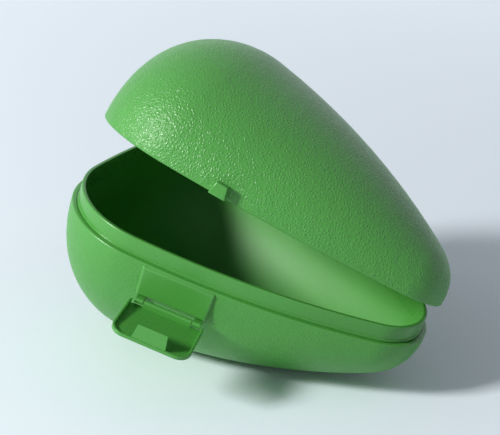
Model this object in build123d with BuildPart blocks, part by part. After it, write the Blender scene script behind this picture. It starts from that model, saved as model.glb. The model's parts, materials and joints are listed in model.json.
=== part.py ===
from build123d import *
import os
from math import atan, atan2, cos, degrees, hypot, radians, sin, sqrt, tan

os.makedirs("parts", exist_ok=True)

# An avocado keeper: two bowls that meet on a split plane, with a hinge on the far side and a latch
# on the near side. Its outline lies on the split plane, with X towards the narrow end, -Y towards
# the latch and the outline's middle at (0, 0). The split plane leans in the part's frame, narrow
# end down, as the box balances on its round base. The part's +Z is straight up from the table, and
# its origin is the middle of the small flat that it rests on.

# Outline on the split plane: four tangent arcs on each side of X
body_length = 135.0
body_width = 100.0
blunt_radius = 314.0
corner_radius = 33.7
flank_radius = 232.0
tip_radius = 21.7

# Base shell: an upright band, then a dome. A rise is the dome's depth over its half width. The
# spigot has a bead round its foot, beside a groove in the ledge.
base_band = 1.8
base_rise = 0.98
base_floor = 2.2
spigot_height = 6.2
spigot_inset = 2.1
spigot_wall = 1.6
bead_height = 0.8
bead_proud = 0.25
bead_round = 0.2
groove_width = 0.55
groove_depth = 0.5
ledge_round = 0.6
rim_round = 0.5

# How far cutting forms reach past the faces that they open
cut_margin = 6.0

# Rest: the lean of the split plane on a table, and a small flat moulded under the balance point
rest_lean = 15.8
rest_flat_depth = 1.1

# Lid shell
lid_band = 2.4
lid_rise = 0.86
lid_clearance = 0.35
lid_crown = 2.2
lid_edge_round = 0.7
seat_gap = 0.2
lid_open = 19.7

# Lid hinge, on a line just outside the far flank. A lead is the angle along the flank from its
# blunt end.
hinge_lead = 0.3
hinge_offset = 3.5
hinge_drop = 0.15
hinge_shift = 4.0
hinge_barrel_radius = 2.9
hinge_pin_radius = 1.25
lid_knuckle_length = 16.0
base_knuckle_length = 8.0
hinge_arm_flare = 2.4
running_clearance = 0.05
knuckle_gap = 0.3

# Latch panel on the near flank
latch_lead = 5.1
panel_proud = 0.5
panel_top = 0.6
panel_gap = 0.3
panel_top_width = 27.0
panel_bottom_width = 26.2
panel_round = 0.8
panel_edge_round = 1.1

# Latch hinge
latch_axis_depth = 13.5
latch_axis_offset = 1.5
latch_barrel_radius = 1.0
latch_pin_radius = 0.5
flap_knuckle_length = 17.6
latch_knuckle_length = 3.0
latch_web_drop = 0.6

# Latch flap: a shallow tray, level with the split plane when it is let down
flap_near_width = 27.6
flap_far_width = 28.6
flap_lip = 0.25
flap_start = 0.4
flap_floor_drop = 1.3
flap_plate = 0.85
flap_rim_width = 1.1
flap_rim_height = 2.2
flap_far_rim_height = 0.5
flap_near_round = 2.5
flap_far_round = 5.0
flap_edge_round = 0.5
flap_rim_round = 0.3
flap_closed_lean = 8.6

# Hook on the flap, and the lug on the lid that it catches
hook_height = 5.2
hook_ridge_width = 10.6
hook_foot_width = 12.4
hook_ridge_thickness = 0.5
hook_foot_thickness = 2.2
hook_clearance = 0.2
lug_height = 4.6
lug_foot_width = 6.2
lug_top_width = 4.4
lug_proud = 3.8
lug_round = 0.5

# Centres of the outline's arcs on the +Y side
blunt_x = blunt_radius - body_length / 2
corner_y = body_width / 2 - corner_radius
corner_x = blunt_x - sqrt((blunt_radius - corner_radius) ** 2 - corner_y**2)
tip_x = body_length / 2 - tip_radius
corner_span = flank_radius - corner_radius
tip_span = flank_radius - tip_radius
centre_span = hypot(tip_x - corner_x, corner_y)
along = (corner_span**2 - tip_span**2 + centre_span**2) / (2 * centre_span)
across = sqrt(corner_span**2 - along**2)
step_x = (tip_x - corner_x) / centre_span
step_y = -corner_y / centre_span
flank_x = corner_x + along * step_x + across * step_y
flank_y = corner_y + along * step_y - across * step_x

# Directions in which one arc runs into the next
blunt_end = degrees(atan2(corner_y, corner_x - blunt_x))
corner_end = degrees(atan2(corner_y - flank_y, corner_x - flank_x))
flank_end = degrees(atan2(-flank_y, tip_x - flank_x))

# Which way the hinge and the latch face, as angles from Y
hinge_bearing = 90 - corner_end + hinge_lead
latch_bearing = 90 - corner_end + latch_lead

# Wall of the base from the outline to its cavity, and the wall of the lid that closes over the bead
base_wall = spigot_inset + spigot_wall
lid_wall = spigot_inset - bead_proud - lid_clearance
base_depth = base_band + base_rise * body_width / 2
cavity_rise = (base_depth - base_floor - base_band) / (body_width / 2 - base_wall)
lid_height = lid_band + lid_rise * body_width / 2
hollow_rise = (lid_height - lid_crown - lid_band) / (body_width / 2 - lid_wall)

# Where the base's keel line is level once the box leans: the middle of the rest flat
keel_angle = atan(tan(radians(rest_lean)) / base_rise)
contact_x = flank_x + flank_radius * sin(keel_angle)
contact_z = -base_band - base_rise * (flank_y + flank_radius * cos(keel_angle))
lean = radians(rest_lean)
rest_x = contact_x - rest_flat_depth * sin(lean)
rest_z = contact_z + rest_flat_depth * cos(lean)

# Split plane of the base, in the part's frame
split = Plane(
    origin=(-rest_x * cos(lean) - rest_z * sin(lean), 0, rest_x * sin(lean) - rest_z * cos(lean)),
    x_dir=(cos(lean), 0, -sin(lean)),
    z_dir=(sin(lean), 0, cos(lean)),
)

# Lid hinge on the split plane: the point where its line is nearest to the flank, and its directions
hinge_out = Vector(sin(radians(hinge_bearing)), cos(radians(hinge_bearing)), 0)
hinge_along = Vector(cos(radians(hinge_bearing)), -sin(radians(hinge_bearing)), 0)
hinge_foot = Vector(flank_x, flank_y, 0) + hinge_out * (flank_radius + hinge_offset)
hinge_centre = hinge_foot + hinge_along * hinge_shift - Vector(0, 0, hinge_drop)
hinge_section = Plane(origin=hinge_centre, x_dir=-hinge_out, z_dir=-hinge_along)

# Split plane of the lid: it turns about the hinge line
base_hinge = Plane(split * hinge_section)
lid_axis = Axis(base_hinge.origin, base_hinge.z_dir)


def turned(vector):
    """A direction of the closed lid, turned to where it points with the lid ajar."""
    return vector.rotate(lid_axis, lid_open)


lid_split = Plane(
    origin=base_hinge.origin + turned(split.origin - base_hinge.origin),
    x_dir=turned(split.x_dir),
    z_dir=turned(split.z_dir),
)
lid_hinge = Plane(lid_split * hinge_section)

# Latch on the near flank: a plane that touches the flank, with Y up and Z outwards
latch_out = Vector(sin(radians(latch_bearing)), -cos(radians(latch_bearing)), 0)
latch_along = Vector(cos(radians(latch_bearing)), sin(radians(latch_bearing)), 0)
latch_foot = Vector(flank_x, -flank_y, 0) + latch_out * flank_radius
latch_face = Plane(origin=latch_foot, x_dir=latch_along, z_dir=latch_out)
latch_axis = latch_foot + latch_out * latch_axis_offset - Vector(0, 0, latch_axis_depth)
latch_section = Plane(split * Plane(origin=latch_axis, x_dir=latch_out, z_dir=-latch_along))
flap_plane = Plane(split * Plane(origin=latch_axis, x_dir=-latch_along, z_dir=(0, 0, 1)))
panel_bottom = latch_axis_depth - latch_barrel_radius - panel_gap

# Catch face of the hook: over the lug's top when the flap stands against the closed lid
closed_turn = radians(90 - flap_closed_lean)
lug_reach = lug_proud - latch_axis_offset
lug_rise = lug_height + seat_gap + hook_clearance + latch_axis_depth
hook_catch = lug_reach * cos(closed_turn) + lug_rise * sin(closed_turn)
flap_reach = hook_catch + hook_foot_thickness + flap_lip


def draw_half_outline(inset):
    """Outline on the +Y side, moved inwards by the inset, from the blunt end to the narrow end."""
    CenterArc((blunt_x, 0), blunt_radius - inset, 180, blunt_end - 180)
    CenterArc((corner_x, corner_y), corner_radius - inset, blunt_end, corner_end - blunt_end)
    CenterArc((flank_x, flank_y), flank_radius - inset, corner_end, flank_end - corner_end)
    CenterArc((tip_x, 0), tip_radius - inset, flank_end, -flank_end)


def outline_block(plane, inset, low, high):
    """Upright block with the whole outline, from one height over the plane to another."""
    with BuildPart() as block:
        with BuildSketch(plane.offset(low)):
            with BuildLine():
                draw_half_outline(inset)
                mirror(about=Plane.XZ)
            make_face()
        extrude(amount=high - low)
    return block.part


def dome(inset, rise, side):
    """Half outline turned through half a circle about X, then made flatter or deeper by the rise."""
    with BuildPart() as form:
        with BuildSketch():
            with BuildLine():
                draw_half_outline(inset)
                Line((inset - body_length / 2, 0), (body_length / 2 - inset, 0))
            make_face()
        revolve(axis=Axis.X, revolution_arc=180 * side)
        scale(by=(1, 1, rise))
    return form.part


def bowl(plane, inset, band, rise, side, mouth=0.0):
    """Solid bowl: a band on one side of the plane, closed by a dome. The mouth reaches past the plane."""
    block = outline_block(plane, inset, -side * mouth, side * band)
    cap = dome(inset, rise, side)
    with BuildPart() as form:
        add(block)
        with Locations(plane.offset(side * band)):
            add(cap)
    return form.part


def knuckle(plane, radius, start, length, web):
    """Hinge knuckle along the plane's Z: a barrel and the web that ties it to a wall."""
    with BuildPart() as form:
        with BuildSketch(plane.offset(start)):
            Circle(radius)
            with BuildLine():
                Polyline(*web, close=True)
            make_face()
        extrude(amount=length)
    return form.part


# Base shell
split_up = Axis(split.origin, split.z_dir)
hinge_arm_end = hinge_offset + base_wall / 2
base_hinge_start = lid_knuckle_length / 2 + knuckle_gap
base_hinge_web = [
    (0, -hinge_barrel_radius),
    (hinge_arm_end, -hinge_barrel_radius - hinge_arm_flare),
    (hinge_arm_end, 0),
    (0, 0),
]
base_latch_start = flap_knuckle_length / 2 + knuckle_gap
latch_web_end = -latch_axis_offset - base_wall
base_latch_web = [
    (0, -latch_web_drop),
    (latch_web_end, -latch_web_drop),
    (latch_web_end, latch_barrel_radius),
    (0, latch_barrel_radius),
]
base_bowl = bowl(split, 0, base_band, base_rise, -1)
base_cavity = bowl(split, base_wall, base_band, cavity_rise, -1, mouth=spigot_height + cut_margin)
groove = outline_block(split, spigot_inset - groove_width, -groove_depth, groove_depth)
bead = outline_block(split, spigot_inset - bead_proud, -groove_depth, bead_height)
spigot = outline_block(split, spigot_inset, -groove_depth, spigot_height)
base_knuckles = []
for side in (-1, 1):
    base_knuckles.append(
        knuckle(
            base_hinge,
            hinge_barrel_radius,
            side * base_hinge_start,
            side * base_knuckle_length,
            base_hinge_web,
        )
    )
    base_knuckles.append(
        knuckle(
            latch_section,
            latch_barrel_radius,
            side * base_latch_start,
            side * latch_knuckle_length,
            base_latch_web,
        )
    )
panel_face = Plane(split * latch_face)
with BuildPart() as latch_panel:
    with BuildSketch(panel_face.offset(panel_proud)):
        with BuildLine():
            Polyline(
                (-panel_top_width / 2, -panel_top),
                (panel_top_width / 2, -panel_top),
                (panel_bottom_width / 2, -panel_bottom),
                (-panel_bottom_width / 2, -panel_bottom),
                close=True,
            )
        make_face()
        fillet(vertices(), panel_round)
    extrude(amount=-panel_proud - base_wall / 2)
    panel_out = Axis(panel_face.origin, panel_face.z_dir)
    fillet(latch_panel.faces().sort_by(panel_out)[-1].edges(), panel_edge_round)
with BuildPart() as base_shell:
    add(base_bowl)
    fillet(base_shell.faces().sort_by(split_up)[-1].edges(), ledge_round)
    add(groove, mode=Mode.SUBTRACT)
    add(bead)
    fillet(base_shell.faces().sort_by(split_up)[-1].outer_wire().edges(), bead_round)
    add(spigot)
    add(latch_panel.part)
    add(base_knuckles)
    add(base_cavity, mode=Mode.SUBTRACT)
    fillet(base_shell.faces().sort_by(split_up)[-1].edges(), rim_round)
    with BuildSketch(base_hinge):
        Circle(hinge_pin_radius)
    extrude(amount=base_hinge_start + base_knuckle_length, both=True, mode=Mode.SUBTRACT)
    with BuildSketch(latch_section):
        Circle(latch_pin_radius)
    extrude(amount=base_latch_start + latch_knuckle_length, both=True, mode=Mode.SUBTRACT)
    with BuildSketch():
        Rectangle(body_length, body_width)
    extrude(amount=-rest_flat_depth - cut_margin, mode=Mode.SUBTRACT)
base_shell.part.label = "base_shell"

# Lid shell
lid_mouth = lid_split.offset(seat_gap)
lid_up = Axis(lid_split.origin, lid_split.z_dir)
lid_latch = Plane(lid_split * latch_face)
lug_axis = Axis(lid_latch.origin, lid_latch.z_dir)
lid_edge = hinge_drop + seat_gap
lid_arm_end = hinge_offset + lid_wall / 2
lid_hinge_web = [
    (0, lid_edge),
    (lid_arm_end, lid_edge),
    (lid_arm_end, hinge_barrel_radius + hinge_arm_flare),
    (0, hinge_barrel_radius),
]
lid_bowl = bowl(lid_mouth, 0, lid_band, lid_rise, 1)
lid_hollow = bowl(lid_mouth, lid_wall, lid_band, hollow_rise, 1, mouth=cut_margin)
lid_knuckle = knuckle(
    lid_hinge,
    hinge_barrel_radius,
    -lid_knuckle_length / 2,
    lid_knuckle_length,
    lid_hinge_web,
)
with BuildPart() as lid_shell:
    add(lid_bowl)
    fillet(lid_shell.faces().sort_by(lid_up)[0].edges(), lid_edge_round)
    with BuildSketch(lid_latch.offset(lug_proud)):
        with BuildLine():
            Polyline(
                (-lug_foot_width / 2, seat_gap),
                (lug_foot_width / 2, seat_gap),
                (lug_top_width / 2, seat_gap + lug_height),
                (-lug_top_width / 2, seat_gap + lug_height),
                close=True,
            )
        make_face()
        fillet(vertices().group_by(Axis.Y)[-1], lug_round)
    extrude(amount=-lug_proud - lid_wall / 2)
    fillet(lid_shell.faces().sort_by(lug_axis)[-1].edges(), lug_round)
    add(lid_knuckle)
    add(lid_hollow, mode=Mode.SUBTRACT)
    with BuildSketch(lid_hinge):
        Circle(hinge_pin_radius + running_clearance)
    extrude(amount=lid_knuckle_length, both=True, mode=Mode.SUBTRACT)
lid_shell.part.label = "lid_shell"

# Latch flap
floor_top = -flap_floor_drop
floor_bottom = floor_top - flap_plate
rim_top = floor_top + flap_rim_height
far_rim_top = floor_top + flap_far_rim_height


def tray_block(inset, start, low, high):
    """Block with the flap's plan: sides that flare towards the far edge, and rounded corners."""
    near = flap_near_width / 2 - inset
    far = flap_far_width / 2 - inset
    end = flap_reach - inset
    with BuildPart() as block:
        with BuildSketch(flap_plane.offset(low)):
            with BuildLine():
                Polyline((-near, start), (near, start), (far, end), (-far, end), close=True)
            make_face()
            fillet(vertices().sort_by(Axis.Y)[:2], flap_near_round - inset)
            fillet(vertices().group_by(Axis.Y)[-1], flap_far_round - inset)
        extrude(amount=high - low)
    return block.part


flap_web = [
    (0, floor_bottom),
    (flap_start + flap_near_round, floor_bottom),
    (flap_start + flap_near_round, floor_top),
    (latch_barrel_radius, floor_top),
    (latch_barrel_radius, 0),
    (0, 0),
]
flap_block = tray_block(0, flap_start, floor_bottom, rim_top)
flap_pocket = tray_block(flap_rim_width, flap_start - flap_reach, floor_top, rim_top)
flap_up = Axis(flap_plane.origin, flap_plane.z_dir)
flap_knuckle = knuckle(
    latch_section,
    latch_barrel_radius,
    -flap_knuckle_length / 2,
    flap_knuckle_length,
    flap_web,
)
with BuildPart() as latch_flap:
    add(flap_block)
    fillet(latch_flap.faces().sort_by(flap_up)[0].edges(), flap_edge_round)
    with BuildSketch(latch_section):
        with BuildLine():
            Polyline(
                (flap_start + flap_near_round, rim_top),
                (flap_reach, far_rim_top),
                (flap_reach, rim_top),
                close=True,
            )
        make_face()
    extrude(amount=flap_far_width, both=True, mode=Mode.SUBTRACT)
    add(flap_pocket, mode=Mode.SUBTRACT)
    rim_edges = latch_flap.edges().filter_by_position(flap_up, far_rim_top - flap_rim_round, rim_top)
    fillet(rim_edges.filter_by(flap_up, reverse=True), flap_rim_round)
    add(flap_knuckle)
    with BuildSketch(flap_plane.offset(floor_top)):
        with Locations((0, hook_catch + hook_foot_thickness / 2)):
            Rectangle(hook_foot_width, hook_foot_thickness)
    with BuildSketch(flap_plane.offset(floor_top + hook_height)):
        with Locations((0, hook_catch + hook_ridge_thickness / 2)):
            Rectangle(hook_ridge_width, hook_ridge_thickness)
    loft()
    with BuildSketch(latch_section):
        Circle(latch_pin_radius + running_clearance)
    extrude(amount=flap_knuckle_length, both=True, mode=Mode.SUBTRACT)
latch_flap.part.label = "latch_flap"

# Latch pin, held by the base's end knuckles
with BuildPart() as latch_pin:
    with BuildSketch(latch_section):
        Circle(latch_pin_radius)
    extrude(amount=base_latch_start + latch_knuckle_length, both=True)
latch_pin.part.label = "latch_pin"

# Lid hinge pin, held by the base's outer knuckles
with BuildPart() as lid_hinge_pin:
    with BuildSketch(base_hinge):
        Circle(hinge_pin_radius)
    extrude(amount=base_hinge_start + base_knuckle_length, both=True)
lid_hinge_pin.part.label = "lid_hinge_pin"

for piece in (base_shell, lid_shell, latch_flap, latch_pin, lid_hinge_pin):
    export_step(piece.part, f"parts/{piece.part.label}.step")
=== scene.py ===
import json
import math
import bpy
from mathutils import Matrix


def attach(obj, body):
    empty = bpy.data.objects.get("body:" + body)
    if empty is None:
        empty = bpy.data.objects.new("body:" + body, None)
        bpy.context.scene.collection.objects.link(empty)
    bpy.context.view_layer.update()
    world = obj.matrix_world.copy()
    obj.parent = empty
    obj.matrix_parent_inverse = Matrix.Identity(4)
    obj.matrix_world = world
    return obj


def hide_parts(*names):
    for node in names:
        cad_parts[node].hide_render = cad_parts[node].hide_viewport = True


bl_info = {
    "name": "Avocado keeper",
    "version": (1, 0, 0),
    "blender": (4, 5, 0),
    "location": "3D View > Sidebar > Avocado keeper",
    "description": "Moulded shells, latch, finishes and a plain stage for an avocado keeper",
    "category": "Add Mesh",
}

import bmesh
import bpy
import numpy as np
from mathutils import Matrix, Vector

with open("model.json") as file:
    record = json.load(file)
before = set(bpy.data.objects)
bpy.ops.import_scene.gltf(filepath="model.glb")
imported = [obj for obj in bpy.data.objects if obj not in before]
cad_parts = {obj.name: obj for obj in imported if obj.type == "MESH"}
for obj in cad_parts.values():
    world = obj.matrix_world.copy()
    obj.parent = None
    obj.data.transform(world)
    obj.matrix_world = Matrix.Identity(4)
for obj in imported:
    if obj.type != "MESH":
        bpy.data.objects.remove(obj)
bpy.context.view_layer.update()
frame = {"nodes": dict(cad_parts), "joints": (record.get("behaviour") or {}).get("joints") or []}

MM = 0.001

# Points that meet within this distance are one point, which closes the seams and poles of a shell
MERGE_DISTANCE = 0.002 * MM

# An edge sharper than this stays crisp under smooth shading
CREASE_ANGLE = math.radians(32)

# Moulded polypropylene: how strongly it bends light, how far the pigment drifts, and the haze that
# keeps a smooth face from looking like glass
REFRACTION = 1.49
PIGMENT_DRIFT = 28 * MM
HAZE_WIDTH = 0.9 * MM
HAZE_DEPTH = 0.006 * MM
HAZE_SPREAD = 0.03

# Roughness of each finish: 0 is a mirror and 1 is chalk
LEATHER_ROUGHNESS = 0.28
FINE_ROUGHNESS = 0.34
SMOOTH_ROUGHNESS = 0.28
INNER_ROUGHNESS = 0.5
CREASE_ROUGHNESS = 0.12

# Leather grain, as shares of a pebble's width: the length and the reach of the sway that bends the
# creases, and the width of the fine noise. Then where a pebble's side ends, in the cells' own
# measure, and how high the fine noise stands against a pebble.
SWAY_LENGTH = 1.6
SWAY_REACH = 1.3
FINE_WIDTH = 0.45
PEBBLE_SIDE = 0.38
FINE_HEIGHT = 0.45

# The ring that keeps a block's front flat lies this many edge rounds inside its outline
FLAT_RING = 1.3

# The bead's rounded top starts at this angle, where it has left the bead's upright side
BEAD_TURN = 20


def size(name, description, millimetres):
    """A length that a user may change, written in millimetres and held in metres."""
    return bpy.props.FloatProperty(
        name=name, description=description, default=millimetres * MM, unit="LENGTH", precision=5
    )


def ratio(name, description, value):
    """A plain number that a user may change."""
    return bpy.props.FloatProperty(name=name, description=description, default=value)


def angle(name, description, degrees):
    """An angle that a user may change, written in degrees and held in radians."""
    return bpy.props.FloatProperty(
        name=name, description=description, default=math.radians(degrees), unit="ROTATION"
    )


def linear(hex_colour):
    """An sRGB colour such as #4FA03F as the linear red, green, blue and alpha of a shader."""
    channels = np.array([int(hex_colour[i : i + 2], 16) for i in (1, 3, 5)]) / 255
    low = channels / 12.92
    high = ((channels + 0.055) / 1.055) ** 2.4
    return (*np.where(channels <= 0.04045, low, high).tolist(), 1.0)


def colour(name, description, hex_colour):
    """A colour that a user may change, written as an sRGB hex value."""
    return bpy.props.FloatVectorProperty(
        name=name,
        description=description,
        default=linear(hex_colour),
        size=4,
        min=0,
        max=1,
        subtype="COLOR",
    )


class KeeperOutline(bpy.types.PropertyGroup):
    """Plan of the box on its split plane: four tangent arcs on each side."""

    length: size("Length", "From the blunt end to the narrow end", 135)
    width: size("Width", "Across the widest part", 100)
    blunt_radius: size("Blunt radius", "Arc across the blunt end", 314)
    corner_radius: size("Corner radius", "Arc round each blunt corner", 33.7)
    flank_radius: size("Flank radius", "Long arc along each side", 232)
    tip_radius: size("Tip radius", "Arc round the narrow end", 21.7)
    point_gap: size("Point gap", "Distance between mesh points along the outline", 0.7)
    dome_steps: bpy.props.IntProperty(
        name="Dome steps", description="Mesh steps over the outside of a dome", default=180
    )
    hollow_steps: bpy.props.IntProperty(
        name="Hollow steps", description="Mesh steps over the inside of a dome", default=72
    )


class KeeperBase(bpy.types.PropertyGroup):
    """Base shell: band, dome, ledge, groove and the upright spigot that the lid closes over."""

    band: size("Band", "Upright band under the split plane", 1.8)
    rise: ratio("Rise", "Depth of the dome over its half width", 0.98)
    floor: size("Floor", "Wall at the bottom of the dome", 2.2)
    spigot_height: size("Spigot height", "Spigot over the ledge", 6.2)
    spigot_inset: size("Spigot inset", "Spigot's outer face from the outline", 2.1)
    spigot_wall: size("Spigot wall", "Thickness of the spigot", 1.6)
    groove_width: size("Groove width", "Groove at the foot of the spigot", 0.55)
    groove_depth: size("Groove depth", "Groove below the ledge", 0.5)
    ledge_round: size("Ledge round", "Rounded outer edge of the ledge", 0.6)
    rim_round: size("Rim round", "Rounded edges of the spigot's rim", 0.5)
    bead_height: size("Bead height", "Height of the bead round the foot of the spigot", 0.8)
    bead_proud: size("Bead proud", "How far the bead stands out of the spigot", 0.25)
    lean: angle("Lean", "Lean of the split plane, narrow end down, when the box rests", 15.8)
    rest_flat_depth: size("Rest flat depth", "Depth of the flat under the balance point", 1.1)


class KeeperLid(bpy.types.PropertyGroup):
    """Lid shell: band, dome, rounded mouth and the lug that the latch hooks over."""

    band: size("Band", "Upright band over the mouth", 2.4)
    rise: ratio("Rise", "Height of the dome over its half width", 0.86)
    clearance: size("Clearance", "Gap between the lid and the bead that it closes over", 0.35)
    crown: size("Crown", "Thickness at the top", 2.2)
    edge_round: size("Edge round", "Rounded outer edge of the mouth", 0.7)
    seat_gap: size("Seat gap", "Gap to the base's ledge when the lid is shut", 0.2)
    lug_height: size("Lug height", "Height of the lug over the mouth", 4.6)
    lug_foot_width: size("Lug foot width", "Width of the lug at the mouth", 6.2)
    lug_top_width: size("Lug top width", "Width of the lug at its top", 4.4)
    lug_proud: size("Lug proud", "How far the lug stands out", 3.8)
    lug_round: size("Lug round", "Rounded edges of the lug", 0.5)


class KeeperLatch(bpy.types.PropertyGroup):
    """Flat panel behind the latch, and the base's two end knuckles on the latch pin."""

    lead: angle("Lead", "Where the latch sits along the flank from its blunt end", 5.1)
    panel_proud: size("Panel proud", "How far the panel stands out", 0.5)
    panel_top: size("Panel top", "Panel's upper edge below the ledge", 0.6)
    panel_gap: size("Panel gap", "Gap between the panel and the knuckles under it", 0.3)
    panel_top_width: size("Panel top width", "Width of the panel at its upper edge", 27)
    panel_bottom_width: size("Panel bottom width", "Width of the panel at its lower edge", 26.2)
    panel_round: size("Panel round", "Rounded corners of the panel", 0.8)
    panel_edge_round: size("Panel edge round", "Rounded front edges of the panel", 1.1)
    axis_depth: size("Axis depth", "Latch pin below the ledge", 13.5)
    axis_offset: size("Axis offset", "Latch pin outside the flank", 1.5)
    barrel_radius: size("Barrel radius", "Radius of the knuckles", 1.0)
    pin_radius: size("Pin radius", "Radius of the latch pin", 0.5)
    middle_length: size("Middle length", "Length of the flap's own knuckle", 17.6)
    end_length: size("End length", "Length of each end knuckle", 3)
    web_drop: size("Web drop", "Underside of the web below the pin", 0.6)


class KeeperHinge(bpy.types.PropertyGroup):
    """Lid hinge outside the far flank: two knuckles on the base and one on the lid."""

    lead: angle("Lead", "Where the hinge sits along the flank from its blunt end", 0.3)
    offset: size("Offset", "Hinge pin outside the flank", 3.5)
    drop: size("Drop", "Hinge pin below the split plane", 0.15)
    shift: size("Shift", "Middle of the hinge towards the narrow end", 4)
    barrel_radius: size("Barrel radius", "Radius of the knuckles", 2.9)
    pin_radius: size("Pin radius", "Radius of the hinge pin", 1.25)
    lid_length: size("Lid knuckle length", "Length of the lid's knuckle", 16)
    base_length: size("Base knuckle length", "Length of each of the base's knuckles", 8)
    arm_flare: size("Arm flare", "How much deeper a web is at the wall", 2.4)
    gap: size("Gap", "Gap between neighbouring knuckles", 0.3)
    clearance: size("Clearance", "Running clearance round a pin", 0.05)
    edge_round: size("Edge round", "Rounded edges of the knuckles", 0.15)


class KeeperFinish(bpy.types.PropertyGroup):
    """Colours and surface of the moulded polypropylene."""

    green: colour("Green", "Colour of the plastic", "#52A243")
    deep_green: colour("Deep green", "Colour where the pigment is denser", "#4A963D")
    lid_grain: size("Lid grain", "Width of one pebble of the lid's leather grain", 1.15)
    lid_grain_depth: size("Lid grain depth", "Depth of the creases between the pebbles", 0.11)
    base_grain: size("Base grain", "Width of one pebble of the base's fine grain", 1.1)
    base_grain_depth: size("Base grain depth", "Depth of the base's fine grain", 0.07)
    relief_wave: size("Relief wave", "Length of the slow waves under the grain", 4.5)
    relief_depth: size("Relief depth", "Depth of the slow waves under the grain", 0.07)


class KeeperStage(bpy.types.PropertyGroup):
    """Floor, light and camera."""

    floor: colour("Floor", "Colour of the floor", "#EFF8FF")
    # Painted shade: the floor's added brightness is lower close to the object than away from it.
    near_lift: ratio("Near lift", "Added brightness of the floor close to the object", 0.18)
    far_lift: ratio("Far lift", "Added brightness of the floor away from it", 0.5)
    near_reach: size("Near reach", "How far from the object's middle the near lift holds", 100)
    far_reach: size("Far reach", "How far from the object's middle the far lift starts", 650)
    # Painted shade: within this reach an occlusion factor takes the floor's added brightness away under
    # the object.
    painted_shade_reach: size("Floor nook", "How near the object the floor stays dark under it", 90)
    sky: colour("Sky", "Colour of the light from all round", "#DCE8F8")
    fill_level: ratio("Fill level", "Strength of the light from all round", 0.13)
    key_level: ratio("Key level", "Lamp, where 1 lights a white card to white", 1.05)
    key_width: size("Key width", "Width of the square lamp", 240)
    key_distance: size("Key distance", "Distance of the lamp from the object", 1300)
    focal_length: bpy.props.FloatProperty(
        name="Focal length", description="Lens of the camera on a 36 mm sensor, in millimetres", default=96
    )


def outline_arcs(outline):
    """Centre, radius and first and last angle of the outline's four arcs on its +Y side.

    The arcs run blunt end, corner, flank, tip. Each touches the next, so the centre of the corner
    lies on a circle about the blunt centre, and the centre of the flank is where circles about the
    corner's and the tip's centre cross."""
    blunt_x = outline.blunt_radius - outline.length / 2
    corner_y = outline.width / 2 - outline.corner_radius
    corner_x = blunt_x - math.sqrt((outline.blunt_radius - outline.corner_radius) ** 2 - corner_y**2)
    tip_x = outline.length / 2 - outline.tip_radius
    corner_span = outline.flank_radius - outline.corner_radius
    tip_span = outline.flank_radius - outline.tip_radius
    centre_span = math.hypot(tip_x - corner_x, corner_y)
    along = (corner_span**2 - tip_span**2 + centre_span**2) / (2 * centre_span)
    across = math.sqrt(corner_span**2 - along**2)
    step_x = (tip_x - corner_x) / centre_span
    step_y = -corner_y / centre_span
    flank_x = corner_x + along * step_x + across * step_y
    flank_y = corner_y + along * step_y - across * step_x
    blunt_end = math.atan2(corner_y, corner_x - blunt_x)
    corner_end = math.atan2(corner_y - flank_y, corner_x - flank_x)
    flank_end = math.atan2(-flank_y, tip_x - flank_x)
    return [
        (blunt_x, 0, outline.blunt_radius, math.pi, blunt_end),
        (corner_x, corner_y, outline.corner_radius, blunt_end, corner_end),
        (flank_x, flank_y, outline.flank_radius, corner_end, flank_end),
        (tip_x, 0, outline.tip_radius, flank_end, 0),
    ]


def half_outline(outline, inset):
    """X and Y of points along the +Y side, moved inwards by the inset, from blunt to narrow end.

    Each arc is sampled evenly, with the same count for every inset, so that points of different
    insets pair up."""
    xs = []
    ys = []
    for x, y, radius, first, last in outline_arcs(outline):
        count = math.ceil(radius * abs(last - first) / outline.point_gap)
        turns = np.linspace(first, last, count + 1)[:-1]
        xs.append(x + (radius - inset) * np.cos(turns))
        ys.append(y + (radius - inset) * np.sin(turns))
    xs.append([outline.length / 2 - inset])
    ys.append([0.0])
    x = np.concatenate(xs)
    y = np.concatenate(ys)
    y[0] = 0.0
    return x, y


def rim_grid(outline, profile):
    """Profile of (inset, height) steps carried round the whole outline.

    Row i is the outline moved inwards by the inset of step i, at the height of step i."""
    rows = []
    for inset, height in profile:
        x, y = half_outline(outline, inset)
        ring_x = np.concatenate([x, x[-2:0:-1]])
        ring_y = np.concatenate([y, -y[-2:0:-1]])
        rows.append(np.stack([ring_x, ring_y, np.full_like(ring_x, height)], axis=-1))
    return np.stack(rows)


def dome_grid(outline, inset, band, rise, side, steps):
    """Half outline turned through half a circle about X, then flattened by the rise.

    With t the share of the half turn, a point is (x, y cos t, side (band + rise y sin t)), where x
    and y run along the half outline. The first and last rows are the two sides of the rim."""
    x, y = half_outline(outline, inset)
    turn = np.linspace(0, math.pi, steps + 1)[:, None]
    return np.stack(
        [
            np.broadcast_to(x, (steps + 1, x.size)),
            y * np.cos(turn),
            side * (band + rise * y * np.sin(turn)),
        ],
        axis=-1,
    )


def quarter_round(inset, height, turn_in, turn_up, radius, first, last, steps=6):
    """Steps of a rounded edge: an arc of a circle about (inset, height) from one angle to another.

    An angle of 0 points along turn_in on the inset and 90 along turn_up on the height."""
    turns = np.radians(np.linspace(first, last, steps + 1))
    return [
        (inset + turn_in * radius * math.cos(t), height + turn_up * radius * math.sin(t)) for t in turns
    ]


def grid_faces(rows, columns, wrap_rows, wrap_columns):
    """Four-sided faces of a grid of points, with its last row or column joined to its first."""
    row = np.arange(rows if wrap_rows else rows - 1)[:, None]
    column = np.arange(columns if wrap_columns else columns - 1)[None, :]
    next_row = (row + 1) % rows
    next_column = (column + 1) % columns
    corners = [
        row * columns + column,
        row * columns + next_column,
        next_row * columns + next_column,
        next_row * columns + column,
    ]
    return np.stack(corners, axis=-1).reshape(-1, 4)


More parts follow.
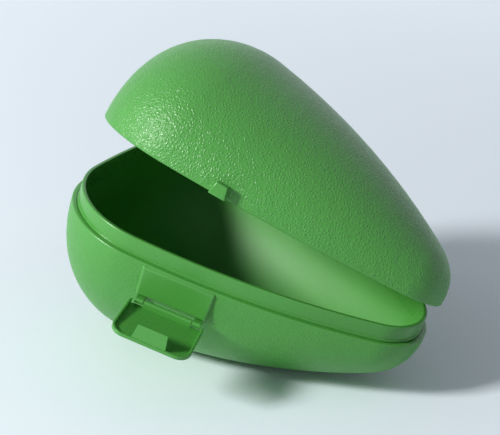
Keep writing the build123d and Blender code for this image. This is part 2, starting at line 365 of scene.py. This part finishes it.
def make_piece(name, grids, place, bevel=0.0):
    """One closed mesh from grids of points, given as (points, wrap rows, wrap columns, material).

    The points are placed by a 4x4 matrix, points that meet are merged, and the faces are turned
    outwards. The object itself stays at the origin."""
    points = []
    faces = []
    materials = []
    start = 0
    for grid, wrap_rows, wrap_columns, material in grids:
        rows, columns = grid.shape[:2]
        quads = grid_faces(rows, columns, wrap_rows, wrap_columns) + start
        points.append(grid.reshape(-1, 3))
        faces.append(quads)
        materials.append(np.full(len(quads), material))
        start += rows * columns
    corners = np.concatenate(points) @ place[:3, :3].T + place[:3, 3]
    mesh = bpy.data.meshes.new(name)
    mesh.from_pydata(corners.tolist(), [], np.concatenate(faces).tolist())
    mesh.polygons.foreach_set("material_index", np.concatenate(materials).astype(np.int32))
    work = bmesh.new()
    work.from_mesh(mesh)
    bmesh.ops.remove_doubles(work, verts=work.verts, dist=MERGE_DISTANCE)
    bmesh.ops.recalc_face_normals(work, faces=work.faces)
    work.to_mesh(mesh)
    work.free()
    mesh.shade_smooth()
    mesh.set_sharp_from_angle(angle=CREASE_ANGLE)
    piece = bpy.data.objects.new(name, mesh)
    bpy.context.scene.collection.objects.link(piece)
    if bevel:
        rounded = piece.modifiers.new("rounded_edges", "BEVEL")
        rounded.width = bevel
        rounded.segments = 2
        rounded.limit_method = "ANGLE"
        rounded.angle_limit = CREASE_ANGLE
    return piece


def matrix_of(origin, x_axis, y_axis, z_axis):
    """A 4x4 matrix that takes a plane's own coordinates to those around it."""
    place = np.identity(4)
    place[:3, 0] = x_axis
    place[:3, 1] = y_axis
    place[:3, 2] = z_axis
    place[:3, 3] = origin
    return place


def split_place(outline, base):
    """Matrix of the base's split plane.

    The plane leans by the lean. The lowest line of the leaning dome lies where the flank's own
    slope has turned by the keel angle, whose tangent is that of the lean over the rise. The middle
    of the rest flat on that line is the object's origin."""
    flank_x, flank_y, flank_radius = outline_arcs(outline)[2][:3]
    keel = math.atan(math.tan(base.lean) / base.rise)
    low_x = flank_x + flank_radius * math.sin(keel)
    low_z = -base.band - base.rise * (flank_y + flank_radius * math.cos(keel))
    cosine = math.cos(base.lean)
    sine = math.sin(base.lean)
    rest_x = low_x - base.rest_flat_depth * sine
    rest_z = low_z + base.rest_flat_depth * cosine
    origin = (-rest_x * cosine - rest_z * sine, 0, rest_x * sine - rest_z * cosine)
    return matrix_of(origin, (cosine, 0, -sine), (0, 1, 0), (sine, 0, cosine))


def opened(place):
    """A matrix that moves with the lid, turned from the shut lid to the lid ajar."""
    hinge = next(joint for joint in frame["joints"] if joint["name"] == "lid_hinge")
    centre = Vector(hinge["pos_m"])
    shut_turn = hinge["range_deg"][0]
    turn = Matrix.Rotation(math.radians(-shut_turn), 4, Vector(hinge["axis"]))
    return np.array(Matrix.Translation(centre) @ turn @ Matrix.Translation(-centre)) @ place


def section_place(outline, lead, side, offset, drop, shift):
    """Matrix of a hinge's section plane on a flank: X away from the flank, Y up, Z along it.

    The flank's tangent point lies the lead past the flank's blunt end. The pin is the offset
    outside it, the drop below the split plane, and the shift towards the narrow end."""
    flank_x, flank_y, flank_radius, corner_end, _ = outline_arcs(outline)[2]
    bearing = math.pi / 2 - corner_end + lead
    out = np.array([math.sin(bearing), side * math.cos(bearing), 0])
    along = np.array([math.cos(bearing), -side * math.sin(bearing), 0])
    foot = np.array([flank_x, side * flank_y, 0]) + out * (flank_radius + offset)
    up = np.array([0, 0, 1])
    origin = foot + along * shift - drop * up
    return matrix_of(origin, out, up, np.cross(out, up))


def slid(distance):
    """Matrix that moves along Z."""
    return matrix_of((0, 0, distance), (1, 0, 0), (0, 1, 0), (0, 0, 1))


def barrel_section(radius, web, steps=40):
    """Closed section of a knuckle: an arc about the pin, and the corners of the web.

    The arc runs from the web's upper side over the outer side to its lower side. The web is a list
    of corners, and its first and last corners say where the arc ends and starts."""
    first = math.atan2(web[-1][1], web[-1][0])
    last = math.atan2(web[0][1], web[0][0])
    turns = np.linspace(first, last, steps)
    arc = np.stack([radius * np.cos(turns), radius * np.sin(turns)], axis=-1)
    return np.concatenate([arc, np.array(web[1:-1])])


def knuckle_grids(section, bore, start, length):
    """Closed surface of a knuckle: its section carried along the pin, with a bore through it.

    The four rows are the section at both ends and a circle of the bore's radius at both ends. A
    point of the circle has the same direction from the pin as its partner on the section."""
    turns = np.arctan2(section[:, 1], section[:, 0])
    circle = np.stack([bore * np.cos(turns), bore * np.sin(turns)], axis=-1)
    rows = []
    end = start + length
    for flat, height in ((section, start), (section, end), (circle, end), (circle, start)):
        rows.append(np.column_stack([flat, np.full(len(flat), height)]))
    return [(np.stack(rows), True, True, 0)]


def rounded_polygon(corners, radii, steps=5):
    """Closed outline with an arc of its own radius at each corner of a convex polygon."""
    corners = np.array(corners, float)
    points = []
    befores = np.roll(corners, 1, 0)
    afters = np.roll(corners, -1, 0)
    for corner, before, after, radius in zip(corners, befores, afters, radii):
        back = (before - corner) / np.linalg.norm(before - corner)
        ahead = (after - corner) / np.linalg.norm(after - corner)
        half = math.acos(np.dot(back, ahead)) / 2
        middle = (back + ahead) / np.linalg.norm(back + ahead)
        centre = corner + middle * radius / math.sin(half)
        first = corner + back * radius / math.tan(half) - centre
        last = corner + ahead * radius / math.tan(half) - centre
        turn = math.pi - 2 * half
        share = np.linspace(0, 1, steps)[:, None]
        arc = (np.sin((1 - share) * turn) * first + np.sin(share * turn) * last) / math.sin(turn)
        points.append(centre + arc)
    return np.concatenate(points)


def shrunk(corners, distance):
    """Corners of a convex polygon, anticlockwise, whose sides have moved inwards by a distance.

    Sides before and after a corner meet again on its bisector, the distance over the sine of half
    the corner's angle from where they met."""
    corners = np.array(corners, float)
    ahead = np.roll(corners, -1, 0) - corners
    ahead /= np.linalg.norm(ahead, axis=1, keepdims=True)
    back = -np.roll(ahead, 1, 0)
    middle = ahead + back
    middle /= np.linalg.norm(middle, axis=1, keepdims=True)
    sine = np.abs(middle[:, 0] * ahead[:, 1] - middle[:, 1] * ahead[:, 0])
    return corners + middle * (distance / sine)[:, None]


def block_grids(corners, radii, back, front, edge_round, steps=6):
    """Closed block: a rounded polygon carried from its back to its front, where the edge is rounded.

    With t from 0 to a quarter turn, the rounded edge is the polygon shrunk by r (1 - cos t) at
    r (1 - sin t) behind the front. One more ring on the front keeps its shading flat, and both ends
    close on the polygon's middle."""

    def ring(inset):
        return rounded_polygon(shrunk(corners, inset), [max(radius - inset, 0) for radius in radii])

    outline = ring(0)
    middle = np.broadcast_to(outline.mean(axis=0), outline.shape)
    rows = [(middle, back), (outline, back)]
    for turn in np.linspace(0, math.pi / 2, steps + 1):
        moved = edge_round * (1 - math.cos(turn))
        rows.append((ring(moved), front - edge_round * (1 - math.sin(turn))))
    rows.append((ring(FLAT_RING * edge_round), front))
    rows.append((middle, front))
    grid = np.stack([np.column_stack([flat, np.full(len(flat), height)]) for flat, height in rows])
    return [(grid, False, True, 0)]


def slow_waves(points, wave, seed, count=40):
    """Smooth random field from -1 to 1: the mean of sines with random directions and phases.

    Each sine has a wave between 0.7 and 1.5 times the given one. The seed fixes them all."""
    rng = np.random.default_rng(seed)
    directions = rng.normal(size=(count, 3))
    directions /= np.linalg.norm(directions, axis=1, keepdims=True)
    waves = wave * rng.uniform(0.7, 1.5, count)
    phases = rng.uniform(0, 2 * math.pi, count)
    total = np.zeros(len(points))
    for direction, length, phase in zip(directions, waves, phases):
        total += np.sin(2 * math.pi * (points @ direction) / length + phase)
    return np.clip(total * math.sqrt(2 / count) / 2, -1, 1)


def sink_relief(piece, material, wave, depth, seed):
    """Sinks the points of one material along their normals by slow random waves.

    A point moves inwards by half the depth times one plus the wave's value, so that no point comes
    out past the smooth surface. Points shared with another material stay where they are."""
    mesh = piece.data
    count = len(mesh.vertices)
    points = np.empty(count * 3)
    mesh.vertices.foreach_get("co", points)
    points = points.reshape(-1, 3)
    normals = np.empty(count * 3)
    mesh.vertex_normals.foreach_get("vector", normals)
    normals = normals.reshape(-1, 3)
    indices = np.empty(len(mesh.polygons), np.int32)
    mesh.polygons.foreach_get("material_index", indices)
    sizes = np.empty(len(mesh.polygons), np.int32)
    mesh.polygons.foreach_get("loop_total", sizes)
    corners = np.empty(len(mesh.loops), np.int32)
    mesh.loops.foreach_get("vertex_index", corners)
    free = np.ones(count, bool)
    free[corners[np.repeat(indices, sizes) != material]] = False
    sink = depth / 2 * (1 + slow_waves(points, wave, seed))
    points -= normals * (sink * free)[:, None]
    mesh.vertices.foreach_set("co", points.ravel())
    mesh.update()


def rest_on_floor(piece):
    """Cuts the flat that the box rests on: no point lies lower than the floor."""
    mesh = piece.data
    points = np.empty(len(mesh.vertices) * 3)
    mesh.vertices.foreach_get("co", points)
    points = points.reshape(-1, 3)
    points[:, 2] = np.maximum(points[:, 2], 0)
    mesh.vertices.foreach_set("co", points.ravel())
    mesh.update()


def add_node(tree, kind, inputs=(), **settings):
    """Adds a node of a kind with its settings, and gives inputs their values or links."""
    made = tree.nodes.new(kind)
    for name, value in settings.items():
        setattr(made, name, value)
    for name, value in dict(inputs).items():
        if isinstance(value, bpy.types.NodeSocket):
            tree.links.new(value, made.inputs[name])
        else:
            made.inputs[name].default_value = value
    return made


def seen_directly(tree):
    """1 where the camera, a gloss or a clear part looks at a surface, and 0 for the light it gives."""
    path = add_node(tree, "ShaderNodeLightPath")
    seen = path.outputs["Is Camera Ray"]
    for ray in ("Is Glossy Ray", "Is Transmission Ray"):
        either = add_node(tree, "ShaderNodeMath", {0: seen, 1: path.outputs[ray]}, operation="MAXIMUM")
        seen = either.outputs["Value"]
    return seen


def polypropylene(name, finish, roughness, grain=0.0, grain_depth=0.0):
    """Injection-moulded polypropylene, coloured through: satin, slightly waxy, with a soft wide gloss.

    The colour drifts a little between two greens, as pigment does in a moulding. A grained surface
    is etched in the mould as pebbles between creases. The pebbles are cells warped by noise, and
    their height climbs from each crease to a flat top. The gloss is a little lower in the creases.
    A smooth surface has only a faint haze."""
    material = bpy.data.materials.new(name)
    material.use_nodes = True
    tree = material.node_tree
    shader = tree.nodes["Principled BSDF"]
    place = add_node(tree, "ShaderNodeTexCoord").outputs["Object"]
    drift = add_node(
        tree,
        "ShaderNodeTexNoise",
        {"Vector": place, "Scale": 1 / PIGMENT_DRIFT, "Detail": 3.0, "Roughness": 0.55},
    )
    tint = add_node(
        tree,
        "ShaderNodeMix",
        {"Factor": drift.outputs["Fac"], 6: finish.green, 7: finish.deep_green},
        data_type="RGBA",
    )
    tree.links.new(tint.outputs[2], shader.inputs["Base Color"])
    shader.inputs["IOR"].default_value = REFRACTION
    shader.inputs["Specular IOR Level"].default_value = 0.5
    if not grain:
        haze = add_node(
            tree,
            "ShaderNodeTexNoise",
            {"Vector": place, "Scale": 1 / HAZE_WIDTH, "Detail": 2.0},
        )
        low, high = roughness - HAZE_SPREAD, roughness + HAZE_SPREAD
        spread = add_node(
            tree,
            "ShaderNodeMapRange",
            {"Value": haze.outputs["Fac"], "To Min": low, "To Max": high},
        )
        tree.links.new(spread.outputs["Result"], shader.inputs["Roughness"])
        bump = add_node(
            tree,
            "ShaderNodeBump",
            {"Height": haze.outputs["Fac"], "Strength": 1.0, "Distance": HAZE_DEPTH},
        )
        tree.links.new(bump.outputs["Normal"], shader.inputs["Normal"])
        return material
    wander = add_node(
        tree,
        "ShaderNodeTexNoise",
        {"Vector": place, "Scale": 1 / (SWAY_LENGTH * grain), "Detail": 2.0},
    )
    sway = add_node(
        tree,
        "ShaderNodeVectorMath",
        {0: wander.outputs["Color"], 1: (-0.5, -0.5, -0.5)},
        operation="ADD",
    )
    swayed = add_node(
        tree,
        "ShaderNodeVectorMath",
        {0: sway.outputs["Vector"], 1: (SWAY_REACH * grain,) * 3, 2: place},
        operation="MULTIPLY_ADD",
    )
    cells = add_node(
        tree,
        "ShaderNodeTexVoronoi",
        {"Vector": swayed.outputs["Vector"], "Scale": 1 / grain},
        feature="DISTANCE_TO_EDGE",
    )
    pebble = add_node(
        tree,
        "ShaderNodeMapRange",
        {"Value": cells.outputs["Distance"], "From Min": 0.0, "From Max": PEBBLE_SIDE},
        interpolation_type="SMOOTHSTEP",
    )
    fine = add_node(
        tree,
        "ShaderNodeTexNoise",
        {"Vector": place, "Scale": 1 / (FINE_WIDTH * grain), "Detail": 2.0},
    )
    height = add_node(
        tree,
        "ShaderNodeMath",
        {0: fine.outputs["Fac"], 1: FINE_HEIGHT, 2: pebble.outputs["Result"]},
        operation="MULTIPLY_ADD",
    )
    bump = add_node(
        tree,
        "ShaderNodeBump",
        {"Height": height.outputs["Value"], "Strength": 1.0, "Distance": grain_depth},
    )
    tree.links.new(bump.outputs["Normal"], shader.inputs["Normal"])
    gloss = add_node(
        tree,
        "ShaderNodeMapRange",
        {
            "Value": pebble.outputs["Result"],
            "To Min": roughness + CREASE_ROUGHNESS,
            "To Max": roughness,
        },
    )
    tree.links.new(gloss.outputs["Result"], shader.inputs["Roughness"])
    return material


def shared_plastic(name, finish, roughness):
    """A smooth finish, made once and shared by every piece that has it."""
    return bpy.data.materials.get(name) or polypropylene(name, finish, roughness)


def smooth_plastic(finish):
    """Rims, panel, latch and hinge, from a polished mould."""
    return shared_plastic("smooth_moulded_polypropylene", finish, SMOOTH_ROUGHNESS)


def inner_plastic(finish):
    """The insides of both shells, duller than their rims."""
    return shared_plastic("blasted_moulded_polypropylene", finish, INNER_ROUGHNESS)


class KEEPER_OT_base_shell(bpy.types.Operator):
    """Base shell with its ledge, groove and spigot, the latch panel and the base's knuckles"""

    bl_idname = "keeper.base_shell"
    bl_label = "Base shell"

    def execute(self, context):
        scene = context.scene
        outline, base, latch = scene.keeper_outline, scene.keeper_base, scene.keeper_latch
        hinge, finish = scene.keeper_hinge, scene.keeper_finish
        place = split_place(outline, base)
        wall = base.spigot_inset + base.spigot_wall
        depth = base.band + base.rise * outline.width / 2
        cavity_rise = (depth - base.floor - base.band) / (outline.width / 2 - wall)
        ledge, rim, bead = base.ledge_round, base.rim_round, base.bead_proud
        foot = base.spigot_inset
        top = base.spigot_height
        rim_profile = [
            *quarter_round(ledge, -ledge, -1, 1, ledge, 0, 90, 8),
            (foot - base.groove_width, 0),
            (foot - base.groove_width, -base.groove_depth),
            (foot - bead, -base.groove_depth),
            (foot - bead, base.bead_height - bead),
            *quarter_round(foot, base.bead_height - bead, -1, 1, bead, BEAD_TURN, 90, 4),
            *quarter_round(foot + rim, top - rim, -1, 1, rim, 0, 90),
            *quarter_round(wall - rim, top - rim, 1, 1, rim, 90, 0),
            (wall, 0),
            (wall, -base.band),
        ]
        grids = [
            (dome_grid(outline, 0, base.band, base.rise, -1, outline.dome_steps), False, False, 0),
            (rim_grid(outline, [(0, -base.band), (0, -ledge)]), False, True, 0),
            (rim_grid(outline, rim_profile), False, True, 1),
            (dome_grid(outline, wall, base.band, cavity_rise, -1, outline.hollow_steps), False, False, 2),
        ]
        shell = make_piece("base_bowl", grids, place)
        sink_relief(shell, 0, finish.relief_wave, finish.relief_depth, seed=11)
        rest_on_floor(shell)
        fine = polypropylene(
            "fine_grained_polypropylene",
            finish,
            FINE_ROUGHNESS,
            finish.base_grain,
            finish.base_grain_depth,
        )
        shell.data.materials.append(fine)
        shell.data.materials.append(smooth_plastic(finish))
        shell.data.materials.append(inner_plastic(finish))
        pieces = [shell]

        side = -1
        section = place @ section_place(outline, latch.lead, side, 0, 0, 0)
        flat = section @ matrix_of((0, 0, 0), (0, 0, -1), (0, 1, 0), (1, 0, 0))
        panel_bottom = latch.axis_depth - latch.barrel_radius - latch.panel_gap
        panel_corners = [
            (-latch.panel_bottom_width / 2, -panel_bottom),
            (latch.panel_bottom_width / 2, -panel_bottom),
            (latch.panel_top_width / 2, -latch.panel_top),
            (-latch.panel_top_width / 2, -latch.panel_top),
        ]
        rounds = [latch.panel_round] * 4
        panel = block_grids(panel_corners, rounds, -wall / 2, latch.panel_proud, latch.panel_edge_round)
        pieces.append(make_piece("latch_panel", panel, flat))

        radius = latch.barrel_radius
        web_end = -latch.axis_offset - wall
        latch_section = barrel_section(
            radius,
            [
                (0, radius),
                (web_end, radius),
                (web_end, -latch.web_drop),
                (-math.sqrt(radius**2 - latch.web_drop**2), -latch.web_drop),
            ],
        )
        pins = place @ section_place(outline, latch.lead, side, latch.axis_offset, latch.axis_depth, 0)
        start = latch.middle_length / 2 + hinge.gap
        for word, low in (("blunt", start), ("narrow", -start - latch.end_length)):
            grids = knuckle_grids(latch_section, latch.pin_radius, low, latch.end_length)
            pieces.append(make_piece(f"latch_knuckle_{word}", grids, pins, hinge.edge_round))

        radius = hinge.barrel_radius
        web_end = -hinge.offset - wall / 2
        hinge_section = barrel_section(
            radius,
            [
                (-radius, 0),
                (web_end, 0),
                (web_end, -radius - hinge.arm_flare),
                (0, -radius),
            ],
        )
        pins = place @ section_place(outline, hinge.lead, 1, hinge.offset, hinge.drop, hinge.shift)
        start = hinge.lid_length / 2 + hinge.gap
        for word, low in (("narrow", start), ("blunt", -start - hinge.base_length)):
            grids = knuckle_grids(hinge_section, hinge.pin_radius, low, hinge.base_length)
            pieces.append(make_piece(f"hinge_knuckle_{word}", grids, pins, hinge.edge_round))

        for piece in pieces:
            if not piece.data.materials:
                piece.data.materials.append(smooth_plastic(finish))
            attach(piece, "base")
        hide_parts("base_shell")
        return {"FINISHED"}


class KEEPER_OT_lid_shell(bpy.types.Operator):
    """Lid shell with its rounded mouth, the lug for the latch and the lid's hinge knuckle"""

    bl_idname = "keeper.lid_shell"
    bl_label = "Lid shell"

    def execute(self, context):
        scene = context.scene
        outline, base, lid = scene.keeper_outline, scene.keeper_base, scene.keeper_lid
        latch, hinge, finish = scene.keeper_latch, scene.keeper_hinge, scene.keeper_finish
        split = opened(split_place(outline, base))
        mouth = split @ slid(lid.seat_gap)
        wall = base.spigot_inset - base.bead_proud - lid.clearance
        height = lid.band + lid.rise * outline.width / 2
        hollow_rise = (height - lid.crown - lid.band) / (outline.width / 2 - wall)
        edge = lid.edge_round
        mouth_profile = [
            *quarter_round(edge, edge, -1, -1, edge, 0, 90),
            (wall, 0),
            (wall, lid.band),
        ]
        grids = [
            (dome_grid(outline, 0, lid.band, lid.rise, 1, outline.dome_steps), False, False, 0),
            (rim_grid(outline, [(0, lid.band), (0, edge)]), False, True, 0),
            (rim_grid(outline, mouth_profile), False, True, 1),
            (dome_grid(outline, wall, lid.band, hollow_rise, 1, outline.hollow_steps), False, False, 2),
        ]
        shell = make_piece("lid_bowl", grids, mouth)
        sink_relief(shell, 0, finish.relief_wave, finish.relief_depth, seed=23)
        leather = polypropylene(
            "leather_grained_polypropylene",
            finish,
            LEATHER_ROUGHNESS,
            finish.lid_grain,
            finish.lid_grain_depth,
        )
        shell.data.materials.append(leather)
        shell.data.materials.append(smooth_plastic(finish))
        shell.data.materials.append(inner_plastic(finish))
        pieces = [shell]

        section = split @ section_place(outline, latch.lead, -1, 0, 0, 0)
        flat = section @ matrix_of((0, 0, 0), (0, 0, -1), (0, 1, 0), (1, 0, 0))
        top = lid.seat_gap + lid.lug_height
        lug_corners = [
            (-lid.lug_foot_width / 2, lid.seat_gap),
            (lid.lug_foot_width / 2, lid.seat_gap),
            (lid.lug_top_width / 2, top),
            (-lid.lug_top_width / 2, top),
        ]
        rounds = [hinge.edge_round] * 2 + [lid.lug_round] * 2
        lug = block_grids(lug_corners, rounds, -wall / 2, lid.lug_proud, lid.lug_round)
        pieces.append(make_piece("latch_lug", lug, flat))

        radius = hinge.barrel_radius
        web_end = -hinge.offset - wall / 2
        web_foot = hinge.drop + lid.seat_gap
        knuckle_section = barrel_section(
            radius,
            [
                (0, radius),
                (web_end, radius + hinge.arm_flare),
                (web_end, web_foot),
                (-math.sqrt(radius**2 - web_foot**2), web_foot),
            ],
        )
        pins = split @ section_place(outline, hinge.lead, 1, hinge.offset, hinge.drop, hinge.shift)
        bore = hinge.pin_radius + hinge.clearance
        grids = knuckle_grids(knuckle_section, bore, -hinge.lid_length / 2, hinge.lid_length)
        pieces.append(make_piece("lid_knuckle", grids, pins, hinge.edge_round))

        for piece in pieces:
            if not piece.data.materials:
                piece.data.materials.append(smooth_plastic(finish))
            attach(piece, "lid")
        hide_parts("lid_shell")
        return {"FINISHED"}


class KEEPER_OT_latch(bpy.types.Operator):
    """Finish of the latch flap and of both pins, whose shapes come with the frame"""

    bl_idname = "keeper.latch"
    bl_label = "Latch flap and pins"

    def execute(self, context):
        plastic = smooth_plastic(context.scene.keeper_finish)
        for name in ("latch_flap", "latch_pin", "lid_hinge_pin"):
            node = frame["nodes"][name]
            node.data.materials.clear()
            node.data.materials.append(plastic)
        return {"FINISHED"}


class KEEPER_OT_stage(bpy.types.Operator):
    """Pale floor, one square lamp with weak light from all round, and the camera"""

    bl_idname = "keeper.stage"
    bl_label = "Stage"

    # Camera: where it stands and which way is right and up in its picture, in the object's frame
    CAMERA_PLACE = (0.2048, -0.4041, 0.2295)
    CAMERA_RIGHT = (0.8845, 0.4625, 0.0614)
    CAMERA_UP = (-0.2209, 0.2991, 0.9283)

    # Towards the lamp from the middle of the object
    LAMP_WAY = (-0.479, -0.711, 0.515)
    MIDDLE = (0.01, 0.0, 0.05)

    FLOOR_RADIUS = 3.0

    def execute(self, context):
        stage = context.scene.keeper_stage
        self.make_floor(stage)
        self.make_light(context, stage)
        self.make_camera(context, stage)
        return {"FINISHED"}

    def make_floor(self, stage):
        """A large round floor of matt card, white with a little blue.

        It looks brighter than it is lit, more so away from the object. Close to the object the added
        brightness is lower, and under it an occlusion factor takes it away, so painted shade darkens the
        floor round and under the object. That is only how it looks: it gives the object no more light."""
        mesh = bpy.data.meshes.new("floor")
        turns = np.linspace(0, 2 * math.pi, 97)[:-1]
        edge = np.stack([np.cos(turns), np.sin(turns), np.zeros_like(turns)], axis=-1) * self.FLOOR_RADIUS
        mesh.from_pydata(edge.tolist(), [], [list(range(len(edge)))])
        floor = bpy.data.objects.new("floor", mesh)
        bpy.context.scene.collection.objects.link(floor)
        card = bpy.data.materials.new("matt_card")
        card.use_nodes = True
        tree = card.node_tree
        shader = tree.nodes["Principled BSDF"]
        shader.inputs["Roughness"].default_value = 0.9
        shader.inputs["Specular IOR Level"].default_value = 0.2
        shader.inputs["Base Color"].default_value = stage.floor
        shader.inputs["Emission Color"].default_value = stage.floor
        # Painted shade: occlusion darkens the floor's added brightness under the object, as a contact
        # shadow.
        floor_painted_shade = add_node(tree, "ShaderNodeAmbientOcclusion", {"Distance": stage.painted_shade_reach}, samples=16)
        place = add_node(tree, "ShaderNodeTexCoord").outputs["Object"]
        away = add_node(tree, "ShaderNodeVectorMath", {0: place}, operation="LENGTH")
        # Added brightness, lower close to the object: painted shade round it.
        lift = add_node(
            tree,
            "ShaderNodeMapRange",
            {
                "Value": away.outputs["Value"],
                "From Min": stage.near_reach,
                "From Max": stage.far_reach,
                "To Min": stage.near_lift,
                "To Max": stage.far_lift,
            },
        ).outputs["Result"]
        for share in (seen_directly(tree), floor_painted_shade.outputs["AO"]):
            part = add_node(tree, "ShaderNodeMath", {0: lift, 1: share}, operation="MULTIPLY")
            lift = part.outputs["Value"]
        tree.links.new(lift, shader.inputs["Emission Strength"])
        mesh.materials.append(card)

    def make_light(self, context, stage):
        """Light from all round, seen as a pale background, and a square lamp of a plain level."""
        world = bpy.data.worlds.new("soft_room")
        context.scene.world = world
        world.use_nodes = True
        tree = world.node_tree
        tree.nodes.clear()
        fill = add_node(tree, "ShaderNodeBackground", {"Color": stage.sky, "Strength": stage.fill_level})
        backdrop = add_node(tree, "ShaderNodeBackground", {"Color": stage.floor, "Strength": 1.0})
        mixed = add_node(
            tree,
            "ShaderNodeMixShader",
            {0: seen_directly(tree), 1: fill.outputs["Background"], 2: backdrop.outputs["Background"]},
        )
        add_node(tree, "ShaderNodeOutputWorld", {"Surface": mixed.outputs["Shader"]})
        lamp = bpy.data.lights.new("key_lamp", "AREA")
        lamp.shape = "SQUARE"
        lamp.size = stage.key_width
        lamp.energy = stage.key_level * (math.pi * stage.key_distance) ** 2
        key = bpy.data.objects.new("key_lamp", lamp)
        way = Vector(self.LAMP_WAY).normalized()
        key.location = Vector(self.MIDDLE) + way * stage.key_distance
        key.rotation_euler = way.to_track_quat("Z", "Y").to_euler()
        context.scene.collection.objects.link(key)

    def make_camera(self, context, stage):
        """The camera stands where the photograph was taken from."""
        data = bpy.data.cameras.new("camera")
        data.lens = stage.focal_length
        camera = bpy.data.objects.new("camera", data)
        right = Vector(self.CAMERA_RIGHT).normalized()
        up = Vector(self.CAMERA_UP)
        up = (up - right * up.dot(right)).normalized()
        turn = Matrix((right, up, right.cross(up))).transposed().to_4x4()
        camera.matrix_world = Matrix.Translation(self.CAMERA_PLACE) @ turn
        context.scene.collection.objects.link(camera)
        context.scene.camera = camera
        context.scene.view_settings.view_transform = "Standard"


class KEEPER_PT_panel(bpy.types.Panel):
    """Buttons that build the keeper, in order"""

    bl_idname = "KEEPER_PT_panel"
    bl_label = "Avocado keeper"
    bl_space_type = "VIEW_3D"
    bl_region_type = "UI"
    bl_category = "Avocado keeper"

    def draw(self, context):
        for operator in OPERATORS:
            self.layout.operator(operator.bl_idname)


GROUPS = {
    "keeper_outline": KeeperOutline,
    "keeper_base": KeeperBase,
    "keeper_lid": KeeperLid,
    "keeper_latch": KeeperLatch,
    "keeper_hinge": KeeperHinge,
    "keeper_finish": KeeperFinish,
    "keeper_stage": KeeperStage,
}
OPERATORS = [KEEPER_OT_base_shell, KEEPER_OT_lid_shell, KEEPER_OT_latch, KEEPER_OT_stage]


def register():
    for name, group in GROUPS.items():
        bpy.utils.register_class(group)
        setattr(bpy.types.Scene, name, bpy.props.PointerProperty(type=group))
    for operator in OPERATORS:
        bpy.utils.register_class(operator)
    bpy.utils.register_class(KEEPER_PT_panel)


def unregister():
    bpy.utils.unregister_class(KEEPER_PT_panel)
    for operator in reversed(OPERATORS):
        bpy.utils.unregister_class(operator)
    for name, group in reversed(GROUPS.items()):
        delattr(bpy.types.Scene, name)
        bpy.utils.unregister_class(group)


def main():
    """Builds every piece and the stage."""
    register()
    bpy.ops.keeper.base_shell()
    bpy.ops.keeper.lid_shell()
    bpy.ops.keeper.latch()
    bpy.ops.keeper.stage()


if __name__ == "__main__":
    main()
